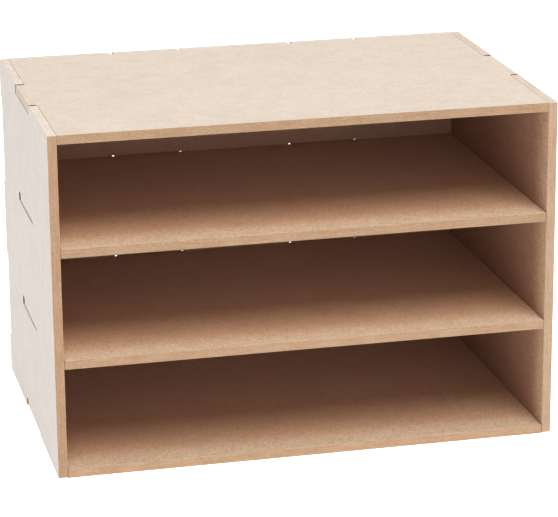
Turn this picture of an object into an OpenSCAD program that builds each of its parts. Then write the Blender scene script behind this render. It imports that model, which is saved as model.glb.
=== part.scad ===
// Open-front shelf module for hobby paints, in flat sheet board.
// Seven panels lock together with tabs in slots and notches.
// X runs along the width, Y from the open front to the closed rear, Z up.
// The origin is at the centre of the footprint, on the surface it stands on.

/* [Carcass] */
// Overall width, outside the two sides
body_w = 330; // [240:1:420]
// Overall depth, from the open front to the rear face
body_d = 218; // [170:1:300]
// Overall height
body_h = 226; // [180:1:320]
// Thickness of the sheet board
board_t = 6; // [4:0.5:9]

/* [Tabs] */
// Length of the tabs at the sides of every panel
side_tab = 61; // [30:1:70]
// Length of the tabs at the rear of the horizontal panels
rear_tab = 50; // [30:1:60]
// Centre of each rear tab, as a share of the clear width from the nearer side
rear_tab_place = 0.3; // [0.26:0.01:0.34]
// Centre of each side tab of the rear panel, as a share of the height
back_tab_place = 0.25; // [0.24:0.01:0.3]

/* [Fit] */
// How far the tabs stop short of the outer faces
tab_recess = 0.7; // [0.2:0.1:2]
// The same for the side tabs of the top panel, which reach further
top_tab_recess = 0.3; // [0.2:0.1:1.5]
// Play of a tab in its slot, along and across it
fit_gap = 0.2; // [0.05:0.05:0.4]
// Gap between a panel and each side
seam_gap = 0.1; // [0.05:0.05:0.4]

/* [Corners] */
// Radius of the corner reliefs that the cutter leaves in slots and notches
cutter_r = 0.7; // [0.6:0.1:1.9]
// Radius of the rounded outside corners of the sides
corner_r = 1.5; // [0.5:0.1:3]

/* [Hidden] */
$fn = 48;

bays = 3;
clear_w = body_w - 2 * board_t;
pitch = (body_h - board_t) / bays;

bottom_z = 0;
lower_z = pitch;
upper_z = 2 * pitch;
top_z = body_h - board_t;

front_y = -body_d / 2;
rear_y = body_d / 2;
back_y = rear_y - board_t;

rear_tab_x = clear_w * (0.5 - rear_tab_place);
back_tab_z = [body_h * back_tab_place, body_h * (1 - back_tab_place)];

// A tab's sides are scooped over the thickness of the board it passes
scoop_r = board_t / 2;
// Overlap that keeps added outlines in one piece and cuts clean
join = 1;

face_colour = [0.87, 0.79, 0.69];
deck_colour = [0.82, 0.72, 0.60];

// Shapes in the plane that the outlines share -----------------------------------

// What rounding takes off the corner of an outline at the origin,
// where the outline lies towards +X and +Y
module corner_waste(r) {
    difference() {
        translate([-join, -join]) square(r + join);
        translate([r, r]) circle(r);
    }
}

// Takes the four corners off a centred outline of the size given
module rounded(size, r) {
    difference() {
        children();
        for (sx = [-1, 1], sy = [-1, 1])
            translate([sx * size[0] / 2, sy * size[1] / 2])
                mirror([sx > 0 ? 1 : 0, 0]) mirror([0, sy > 0 ? 1 : 0])
                    corner_waste(r);
    }
}

// A tab that grows towards +X from the edge of a panel at x = 0,
// with a round scoop in each side where the edge passes through
module tab(length, reach) {
    difference() {
        translate([-join, -length / 2]) square([reach + join, length]);
        for (side = [-1, 1])
            translate([scoop_r, side * length / 2]) circle(scoop_r);
    }
}

// An opening for a tab: length along X, height along Y from y = 0 up,
// with a round relief that takes in each corner. An open notch has none at its mouth.
module slot(length, height, lower = true, upper = true) {
    inset = 0.6 * cutter_r;
    translate([-length / 2, lower ? 0 : -join])
        square([length, height + (lower ? 0 : join) + (upper ? 0 : join)]);
    for (side = [-1, 1]) {
        x = side * (length / 2 - inset);
        if (lower) translate([x, inset]) circle(cutter_r);
        if (upper) translate([x, height - inset]) circle(cutter_r);
    }
}

// Openings for the tabs of the four horizontal panels, in an outline whose Y is up
module deck_slots(length) {
    gap_length = length + fit_gap;
    translate([0, bottom_z]) slot(gap_length, board_t + fit_gap, lower = false);
    translate([0, lower_z]) slot(gap_length, board_t + fit_gap);
    translate([0, upper_z]) slot(gap_length, board_t + fit_gap);
    translate([0, top_z]) slot(gap_length, board_t, upper = false);
}

// Outlines of the three kinds of panel ----------------------------------------

// Side panel, X towards the rear and Y up
module side_outline() {
    difference() {
        translate([0, body_h / 2]) rounded([body_d, body_h], corner_r)
            square([body_d, body_h], center = true);
        deck_slots(side_tab);
        for (z = back_tab_z)
            translate([back_y, z]) rotate(-90)
                slot(side_tab + fit_gap, board_t, upper = false);
    }
}

// Horizontal panel, X along the width and Y towards the rear
module deck_outline(reach) {
    translate([seam_gap - clear_w / 2, front_y])
        square([clear_w - 2 * seam_gap, body_d - board_t]);
    for (side = [0, 1])
        mirror([side, 0]) translate([clear_w / 2, 0]) tab(side_tab, reach);
    for (side = [-1, 1])
        translate([side * rear_tab_x, back_y]) rotate(90)
            tab(rear_tab, board_t - tab_recess);
}

// Rear panel, X along the width and Y up
module rear_outline() {
    difference() {
        translate([seam_gap - clear_w / 2, 0]) square([clear_w - 2 * seam_gap, body_h]);
        for (side = [-1, 1])
            translate([side * rear_tab_x, 0]) deck_slots(rear_tab);
    }
    for (side = [0, 1], z = back_tab_z)
        mirror([side, 0]) translate([clear_w / 2, z])
            tab(side_tab, board_t - tab_recess);
}

// The panels --------------------------------------------------------------------

module side_panel() {
    rotate([90, 0, 90]) linear_extrude(board_t) side_outline();
}

module deck(z, reach) {
    translate([0, 0, z]) linear_extrude(board_t) deck_outline(reach);
}

module left_side() {
    color(face_colour) translate([-body_w / 2, 0, 0]) side_panel();
}

module right_side() {
    color(face_colour) translate([body_w / 2 - board_t, 0, 0]) side_panel();
}

module top_panel() {
    color(face_colour) deck(top_z, board_t - top_tab_recess);
}

module upper_shelf() {
    color(deck_colour) deck(upper_z, board_t - tab_recess);
}

module lower_shelf() {
    color(deck_colour) deck(lower_z, board_t - tab_recess);
}

module bottom_panel() {
    color(deck_colour) deck(bottom_z, board_t - tab_recess);
}

module rear_panel() {
    color(deck_colour) translate([0, rear_y, 0]) rotate([90, 0, 0])
        linear_extrude(board_t) rear_outline();
}

left_side();
right_side();
top_panel();
upper_shelf();
lower_shelf();
bottom_panel();
rear_panel();
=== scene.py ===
"""Looks for the open-front shelf module in raw MDF. Metres, in the CAD frame."""
import math

import bpy
from mathutils import Matrix, Vector


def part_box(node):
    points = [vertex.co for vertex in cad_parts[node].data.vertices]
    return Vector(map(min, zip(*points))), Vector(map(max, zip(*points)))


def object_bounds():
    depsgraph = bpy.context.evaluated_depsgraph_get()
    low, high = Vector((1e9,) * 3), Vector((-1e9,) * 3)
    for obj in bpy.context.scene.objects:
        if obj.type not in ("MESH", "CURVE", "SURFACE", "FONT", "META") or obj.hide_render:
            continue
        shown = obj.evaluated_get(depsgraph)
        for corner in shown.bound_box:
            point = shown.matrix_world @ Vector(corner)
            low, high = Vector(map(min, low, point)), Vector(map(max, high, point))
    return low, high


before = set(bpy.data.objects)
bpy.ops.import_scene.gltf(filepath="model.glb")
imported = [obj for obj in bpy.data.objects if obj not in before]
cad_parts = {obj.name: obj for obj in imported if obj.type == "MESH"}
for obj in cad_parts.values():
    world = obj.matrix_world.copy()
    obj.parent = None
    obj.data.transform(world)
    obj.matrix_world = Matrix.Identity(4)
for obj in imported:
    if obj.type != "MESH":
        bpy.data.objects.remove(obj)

# The module stands centred on x = 0 and y = 0, so a distance from there serves both sides
cad_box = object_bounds()
WALL_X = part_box("right_side")[0][0]
FRONT_Y = cad_box[0][1]
TOP_Z = cad_box[1][2]

# Colours are linear red, green and blue. First the pressed faces on the outside, one board tinted
# apart as painted light: the top warmer, the sides greyer as under a cooler light from the left
OUTER_TOP = (0.535, 0.456, 0.385)
OUTER_SIDE = (0.504, 0.460, 0.424)

# Pressed faces inside the bays: at the open front, a few centimetres in, and deep. The change with
# depth is painted light and shade: darker and redder a few centimetres in, darker still deep in on
# the walls, paler again at the rear on the shelves
SHELF_TONES = ((0.575, 0.43, 0.305), (0.535, 0.330, 0.210), (0.575, 0.412, 0.34))
WALL_TONES = ((0.55, 0.36, 0.24), (0.38, 0.22, 0.15), (0.36, 0.205, 0.145))
# Painted light: the inside of the rear wall is paler than the other inner faces
REAR_WALL = (0.66, 0.445, 0.35)

# Milled edges at the front, tan and much darker than the other milled edges: partly the real tone of
# cut board, partly painted shade where little light comes from the front
FRONT_LEFT = (0.345, 0.215, 0.13)
FRONT_RIGHT = (0.37, 0.255, 0.17)
FRONT_DECK = (0.355, 0.23, 0.14)

# Other milled edges, and the dark brown painted as shade in the slot ends and as a shadow line along
# the joints
CUT = (0.56, 0.50, 0.44)
# Painted shade: the top panel's milled edges, darker because its tab ends lie in shade in the notches
SHADED_TAB_CUT = (0.47, 0.395, 0.32)
CUT_RIGHT = (0.52, 0.435, 0.36)
CUT_REAR = (0.38, 0.29, 0.22)
# Painted shade: the dark brown of the shadowed slot ends and of the shadow line at the joints
PAINTED_SHADE = (0.22, 0.12, 0.065)

# Distances behind the open front over which an inner face changes its painted light and shade, and
# its speckle
NEAR_TO_MIDDLE = (0.0, 0.030)
MIDDLE_TO_DEEP = (0.045, 0.120)
SPECKLE_TO_CALM = (0.010, 0.090)

# Bands over which an edge changes: below the top, in from the front and rear, in from the walls
RIM = (0.0008, 0.0003)
SLOT_MOUTH = (0.001, 0.002)
JOINT = (0.0010, 0.0005)
TAB_ROOT = 0.0002

ARRIS = 0.00025
AXIS = {"x": 0, "y": 1, "z": 2}

ROUGHNESS = 0.72
ROUGHNESS_SWING = 0.08
EDGE_ROUGHER = 0.12
RELIEF = 0.00008

FLOOR_REACH = 8.0
FLOOR_DROP = 0.0002
WHITE = (1.0, 1.0, 1.0)


# Node helpers --------------------------------------------------------------------

def add(tree, kind, **settings):
    """A new shader node with its plain settings."""
    node = tree.nodes.new("ShaderNode" + kind)
    for name, value in settings.items():
        setattr(node, name, value)
    return node


def feed(tree, socket, value):
    """Puts a number, a colour or another node's output into a socket."""
    if isinstance(value, bpy.types.NodeSocket):
        tree.links.new(value, socket)
    elif isinstance(value, tuple) and len(value) == 3 and socket.type == "RGBA":
        socket.default_value = (*value, 1.0)
    else:
        socket.default_value = value


def maths(tree, operation, *values):
    """The result of one Math node."""
    node = add(tree, "Math", operation=operation)
    for socket, value in zip(node.inputs, values):
        feed(tree, socket, value)
    return node.outputs[0]


def smooth(tree, value, low, high, start=0.0, end=1.0):
    """Value taken from low..high to start..end with a soft step."""
    node = add(tree, "MapRange", interpolation_type="SMOOTHSTEP")
    feed(tree, node.inputs["Value"], value)
    feed(tree, node.inputs["From Min"], low)
    feed(tree, node.inputs["From Max"], high)
    feed(tree, node.inputs["To Min"], start)
    feed(tree, node.inputs["To Max"], end)
    return node.outputs[0]


def mix(tree, share, a, b, blend="MIX"):
    """Colour a, with b blended over it by the share given."""
    node = add(tree, "Mix", data_type="RGBA", blend_type=blend, clamp_result=True)
    feed(tree, node.inputs[0], share)
    feed(tree, node.inputs[6], a)
    feed(tree, node.inputs[7], b)
    return node.outputs[2]


def stretched(tree, point, size):
    """The point scaled by one factor for each axis."""
    node = add(tree, "VectorMath", operation="MULTIPLY")
    feed(tree, node.inputs[0], point)
    feed(tree, node.inputs[1], size)
    return node.outputs[0]


def noise(tree, point, scale, detail=2.0, rough=0.5, distortion=0.0):
    """Noise from 0 to 1 at a point."""
    node = add(tree, "TexNoise")
    feed(tree, node.inputs["Vector"], point)
    feed(tree, node.inputs["Scale"], scale)
    feed(tree, node.inputs["Detail"], detail)
    feed(tree, node.inputs["Roughness"], rough)
    feed(tree, node.inputs["Distortion"], distortion)
    return node.outputs[0]


def axis_part(tree, vector, axis):
    """The part of a vector along one axis."""
    split = add(tree, "SeparateXYZ")
    feed(tree, split.inputs[0], vector)
    return split.outputs[AXIS[axis]]


def distance(tree, vector, axis):
    """How far a vector reaches along one axis, either way."""
    return maths(tree, "ABSOLUTE", axis_part(tree, vector, axis))


# Finishes of the board --------------------------------------------------------------

def shaded(colour, share):
    """A colour with all its parts scaled alike."""
    return tuple(share * part for part in colour)


def tinted(colour, shares):
    """A colour with each of its parts scaled by its own share, and none over 1."""
    return tuple(min(1.0, part * share) for part, share in zip(colour, shares))


def pressed(tones, shares=(1.0, 1.0, 1.0), speckle=1.9, calm=0.4):
    """A pressed face: three tones, each scaled by its share, as face_colour takes them."""
    near, middle, deep = [shaded(tone, share) for tone, share in zip(tones, shares)]
    return {"near": near, "middle": middle, "deep": deep, "speckle": speckle, "calm": calm}


def milled(front, top=CUT, other=CUT):
    """Edges that face the front or rear, edges level with the module's top, and all others."""
    return {"front": front, "top": top, "other": other}


# The board ------------------------------------------------------------------------

def fibres(tree, point, seed):
    """Short pressed wood fibres that lie two ways, from 0 to 1."""
    moved = add(tree, "VectorMath", operation="ADD")
    feed(tree, moved.inputs[0], point)
    feed(tree, moved.inputs[1], (seed, -seed, 0.5 * seed))
    one = noise(tree, stretched(tree, moved.outputs[0], (1.0, 0.25, 0.6)), 1500.0, 3.0, 0.6, 1.2)
    two = noise(tree, stretched(tree, moved.outputs[0], (0.25, 1.0, 0.6)), 1500.0, 3.0, 0.6, 1.2)
    return maths(tree, "MULTIPLY", maths(tree, "ADD", one, two), 0.5)


def face_colour(tree, point, seed, near, middle, deep, speckle, calm):
    """A pressed face: cloudy, with fine fibres as marked as speckle says and a few dark flecks.

    near is its colour at the open front, middle the colour a few centimetres further in,
    and deep the colour from the middle of its depth to the rear. calm is how much of the
    speckle is left there.
    """
    # The change from the near to the middle to the deep tone is painted light and shade
    inward = maths(tree, "SUBTRACT", axis_part(tree, point, "y"), FRONT_Y)
    out = mix(tree, smooth(tree, inward, *NEAR_TO_MIDDLE), near, middle)
    out = mix(tree, smooth(tree, inward, *MIDDLE_TO_DEEP), out, deep)
    marked = smooth(tree, inward, *SPECKLE_TO_CALM, 1.0, calm)
    specks = tuple(1.0 - speckle * k for k in (0.15, 0.18, 0.21))

    cloud = noise(tree, point, 22.0 + seed, 3.0, 0.55)
    out = mix(tree, smooth(tree, cloud, 0.70, 0.30, 0.0, 0.50), out, (0.94, 0.94, 0.94), "MULTIPLY")
    patch = noise(tree, point, 95.0, 2.0, 0.55, 0.5)
    out = mix(tree, smooth(tree, patch, 0.42, 0.64, 0.0, 0.35), out, (0.89, 0.85, 0.80), "MULTIPLY")

    mottle = noise(tree, stretched(tree, point, (1.0, 0.6, 1.0)), 620.0, 3.0, 0.65)
    mottled = maths(tree, "MULTIPLY", marked, smooth(tree, mottle, 0.44, 0.62, 0.0, 0.60))
    out = mix(tree, mottled, out, specks, "MULTIPLY")
    fibre = fibres(tree, point, seed)
    fibrous = maths(tree, "MULTIPLY", marked, smooth(tree, fibre, 0.47, 0.60, 0.0, 0.50))
    out = mix(tree, fibrous, out, specks, "MULTIPLY")

    fleck = noise(tree, stretched(tree, point, (1.0, 0.7, 0.85)), 900.0, 1.0, 0.4, 2.0)
    return mix(tree, smooth(tree, fleck, 0.69, 0.76, 0.0, 0.60), out, (0.5, 0.5, 0.5), "MULTIPLY")


def edge_colour(tree, point, across, colour, seed):
    """A milled edge: streaks along its length, a coarse dark grain and paler clouds."""
    along = {"x": (9.0, 0.35, 0.35), "y": (0.35, 9.0, 0.35), "z": (0.35, 0.35, 9.0)}[across]
    streak = noise(tree, stretched(tree, point, along), 190.0 + seed, 3.0, 0.6)
    grain = noise(tree, point, 850.0, 3.0, 0.65, 0.6)
    cloud = noise(tree, point, 45.0, 2.0, 0.5)
    darker = tinted(colour, (0.78, 0.72, 0.66))
    lighter = tinted(colour, (1.10, 1.13, 1.18))
    out = mix(tree, smooth(tree, streak, 0.38, 0.62), darker, lighter)
    out = mix(tree, 0.60, colour, out)
    out = mix(tree, smooth(tree, grain, 0.42, 0.60, 0.0, 0.75), out, darker)
    return mix(tree, smooth(tree, cloud, 0.40, 0.65, 0.0, 0.25), out, lighter)


def edges_colour(tree, point, normal, across, cut, seed):
    """All milled edges of a panel. Those that face the front or rear inside a slot are painted dark
    brown as shade.
    """
    near_top = smooth(tree, axis_part(tree, point, "z"), TOP_Z - RIM[0], TOP_Z - RIM[1])
    sides = mix(tree, near_top, edge_colour(tree, point, across, cut["other"], seed),
                edge_colour(tree, point, across, cut["top"], seed))
    reach = -FRONT_Y
    in_slot = smooth(tree, distance(tree, point, "y"), reach - SLOT_MOUTH[0], reach - SLOT_MOUTH[1])
    # Painted shade: slot ends that face the front or rear turn dark brown
    ends = mix(tree, in_slot, edge_colour(tree, point, across, cut["front"], seed), PAINTED_SHADE)
    return mix(tree, smooth(tree, distance(tree, normal, "y"), 0.5, 0.85), sides, ends)


def worn(tree, point, flat, colour, edge):
    """The colour with patches of its arrises rubbed paler. flat is 1 on a face, 0 on an edge."""
    arris = maths(tree, "MULTIPLY", smooth(tree, flat, 0.10, 0.40), smooth(tree, flat, 0.995, 0.90))
    rubbed = maths(tree, "MULTIPLY", arris, smooth(tree, noise(tree, point, 160.0, 3.0), 0.35, 0.6))
    return mix(tree, maths(tree, "MULTIPLY", rubbed, 0.6), colour, tinted(edge, (1.25, 1.32, 1.40)))


def joint_shadow(tree, point, colour, strength):
    """The colour with a painted shadow line where a horizontal panel meets the side walls."""
    from_middle = distance(tree, point, "x")
    line = smooth(tree, from_middle, WALL_X - JOINT[0], WALL_X - JOINT[1], 0.0, strength)
    short_of_tab = smooth(tree, from_middle, WALL_X + TAB_ROOT, WALL_X)
    # Painted shadow line along the joint with the side walls
    return mix(tree, maths(tree, "MULTIPLY", line, short_of_tab), colour, PAINTED_SHADE)


def surface(tree, shader, point, on_face, seed):
    """Roughness and fine relief, both stronger on the milled edges than on the faces."""
    fuzz = noise(tree, point, 1600.0, 3.0, 0.65)
    rough = smooth(tree, fuzz, 0.3, 0.7, ROUGHNESS - ROUGHNESS_SWING, ROUGHNESS + ROUGHNESS_SWING)
    rough = maths(tree, "ADD", rough, EDGE_ROUGHER)
    rough = maths(tree, "SUBTRACT", rough, maths(tree, "MULTIPLY", on_face, EDGE_ROUGHER))
    feed(tree, shader.inputs["Roughness"], rough)
    bump = add(tree, "Bump")
    bump.inputs["Distance"].default_value = RELIEF
    feed(tree, bump.inputs["Strength"], smooth(tree, on_face, 0.0, 1.0, 0.9, 0.35))
    relief = maths(tree, "ADD", maths(tree, "MULTIPLY", fibres(tree, point, seed), 0.6), fuzz)
    feed(tree, bump.inputs["Height"], relief)
    feed(tree, shader.inputs["Normal"], bump.outputs[0])


def board(name, across, plus, minus, cut, seed, joint_line):
    """MDF for a panel whose thickness runs along one axis.

    plus and minus are the pressed finishes of its faces towards +axis and -axis, and cut
    the milled finish of its edges. joint_line is how dark its joint with the sides is.
    """
    material = bpy.data.materials.new(name)
    material.use_nodes = True
    tree = material.node_tree
    shader = tree.nodes["Principled BSDF"]
    place = add(tree, "TexCoord")
    point = place.outputs["Object"]
    normal = place.outputs["Normal"]
    facing = axis_part(tree, normal, across)
    flat = maths(tree, "ABSOLUTE", facing)
    on_face = smooth(tree, flat, 0.55, 0.85)
    faces = mix(tree, smooth(tree, facing, -0.1, 0.1), face_colour(tree, point, seed, **minus),
                face_colour(tree, point, seed, **plus))
    colour = mix(tree, on_face, edges_colour(tree, point, normal, across, cut, seed), faces)
    colour = worn(tree, point, flat, colour, cut["front"])
    if across == "z":
        colour = joint_shadow(tree, point, colour, joint_line)
    feed(tree, shader.inputs["Base Color"], colour)
    shader.inputs["IOR"].default_value = 1.45
    shader.inputs["Specular IOR Level"].default_value = 0.3
    surface(tree, shader, point, on_face, seed)
    return material


def dress(node_name, across, plus, minus, cut, seed, joint_line=0.0):
    """Gives a CAD panel its material and the small rounding of its cut arrises."""
    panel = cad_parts[node_name]
    panel.data.materials.clear()
    panel.data.materials.append(board("mdf_" + node_name, across, plus, minus, cut, seed, joint_line))
    weld = panel.modifiers.new("weld", "WELD")
    weld.merge_threshold = 1e-6
    flat = panel.modifiers.new("flat_faces", "DECIMATE")
    flat.decimate_type = "DISSOLVE"
    flat.angle_limit = math.radians(1)
    bevel = panel.modifiers.new("arris", "BEVEL")
    bevel.width = ARRIS
    bevel.segments = 2
    bevel.limit_method = "ANGLE"
    bevel.angle_limit = math.radians(30)
    bevel.use_clamp_overlap = False
    panel.modifiers.new("shading", "WEIGHTED_NORMAL")


# The stage ------------------------------------------------------------------------

def floor():
    """A pale floor that gives off light of its own."""
    reach = FLOOR_REACH
    mesh = bpy.data.meshes.new("floor")
    corners = [(-reach, -reach, 0), (reach, -reach, 0), (reach, reach, 0), (-reach, reach, 0)]
    mesh.from_pydata(corners, [], [(0, 1, 2, 3)])
    sheet = bpy.data.objects.new("floor", mesh)
    sheet.location.z = -FLOOR_DROP
    bpy.context.scene.collection.objects.link(sheet)
    material = bpy.data.materials.new("floor_white")
    material.use_nodes = True
    shader = material.node_tree.nodes["Principled BSDF"]
    shader.inputs["Base Color"].default_value = (0.4, 0.4, 0.4, 1.0)
    shader.inputs["Roughness"].default_value = 0.9
    shader.inputs["Specular IOR Level"].default_value = 0.1
    shader.inputs["Emission Color"].default_value = (*WHITE, 1.0)
    shader.inputs["Emission Strength"].default_value = 1.5
    mesh.materials.append(material)


def surround(front_level):
    """A white studio, which from low down in front lights with only the level given.

    The camera itself sees it white all round.
    """
    world = bpy.data.worlds.new("studio")
    world.use_nodes = True
    tree = world.node_tree
    direction = add(tree, "TexCoord").outputs["Generated"]
    in_front = smooth(tree, axis_part(tree, direction, "y"), 0.1, -0.5)
    low = smooth(tree, axis_part(tree, direction, "z"), 0.80, 0.55)
    lit = mix(tree, maths(tree, "MULTIPLY", in_front, low), WHITE, shaded(WHITE, front_level))
    seen = add(tree, "LightPath").outputs["Is Camera Ray"]
    feed(tree, tree.nodes["Background"].inputs["Color"], mix(tree, seen, lit, WHITE))
    bpy.context.scene.world = world


def softbox(name, place, aim, size, power):
    """A square area light at a place, turned to face its aim. Power in watts."""
    data = bpy.data.lights.new(name, "AREA")
    data.shape = "SQUARE"
    data.size = size
    data.energy = power
    lamp = bpy.data.objects.new(name, data)
    lamp.location = place
    lamp.rotation_mode = "QUATERNION"
    lamp.rotation_quaternion = (Vector(aim) - Vector(place)).to_track_quat("-Z", "Y")
    bpy.context.scene.collection.objects.link(lamp)


def camera(place, bearing, down, roll, lens):
    """A camera turned right by the bearing, tilted down and rolled. Degrees, and lens in mm."""
    data = bpy.data.cameras.new("camera")
    data.sensor_width = 36.0
    data.lens = lens
    data.clip_start = 0.05
    data.clip_end = 50.0
    holder = bpy.data.objects.new("camera", data)
    turn = (Matrix.Rotation(math.radians(-bearing), 4, "Z")
            @ Matrix.Rotation(math.radians(90.0 - down), 4, "X")
            @ Matrix.Rotation(math.radians(roll), 4, "Z"))
    holder.matrix_world = Matrix.Translation(place) @ turn
    bpy.context.scene.collection.objects.link(holder)
    bpy.context.scene.camera = holder


camera(place=(-0.3893, -1.6773, 0.6384), bearing=13.272, down=17.322, roll=-0.476, lens=171.53)
surround(front_level=0.5)
softbox("key", place=(0.45, -2.35, 4.0), aim=(0.0, -0.05, 0.12), size=2.9, power=194.0)
floor()
bpy.context.scene.view_settings.view_transform = "Standard"

# The inner face of the left side is paler than its neighbours, to return light into the bays
shelf_face = pressed(SHELF_TONES)
# Painted shade: the floor of the bottom bay is darker near the open front than the shelves above, and
# a little paler at the rear
bottom_face = pressed(SHELF_TONES, shares=(0.90, 0.93, 1.03))
left_inside = pressed(SHELF_TONES, shares=(1.25, 1.25, 1.25))
right_inside = pressed(WALL_TONES)
rear_inside = pressed((REAR_WALL,) * 3, speckle=1.6, calm=0.5)
left_outside = pressed((OUTER_SIDE,) * 3, speckle=0.75, calm=1.0)
# Painted shade: the right and rear outer faces are a darker copy of the left outer face
far_outside = pressed((shaded(OUTER_SIDE, 0.84),) * 3, speckle=0.9, calm=1.0)
top_outside = pressed((OUTER_TOP,) * 3, speckle=0.8, calm=1.0)

# Painted light and shade: the front edges of the top panel, shelves and bottom panel are scaled by
# height, darkest on the top panel and palest on the bottom panel
left_cut = milled(FRONT_LEFT)
right_cut = milled(FRONT_RIGHT, top=CUT_RIGHT)
# The top panel's milled edges take the tone painted with shade
top_cut = milled(shaded(FRONT_DECK, 0.92), top=SHADED_TAB_CUT, other=SHADED_TAB_CUT)
upper_cut = milled(shaded(FRONT_DECK, 0.95))
lower_cut = milled(FRONT_DECK)
bottom_cut = milled(shaded(FRONT_DECK, 1.06))
rear_cut = milled(FRONT_DECK, other=CUT_REAR)

dress("left_side", "x", left_inside, left_outside, left_cut, seed=1.0)
dress("right_side", "x", far_outside, right_inside, right_cut, seed=2.0)
dress("top_panel", "z", top_outside, shelf_face, top_cut, seed=3.0)
dress("upper_shelf", "z", shelf_face, shelf_face, upper_cut, seed=4.0, joint_line=0.7)
dress("lower_shelf", "z", shelf_face, shelf_face, lower_cut, seed=5.0, joint_line=0.7)
dress("bottom_panel", "z", bottom_face, shelf_face, bottom_cut, seed=6.0, joint_line=0.7)
dress("rear_panel", "y", far_outside, rear_inside, rear_cut, seed=7.0)
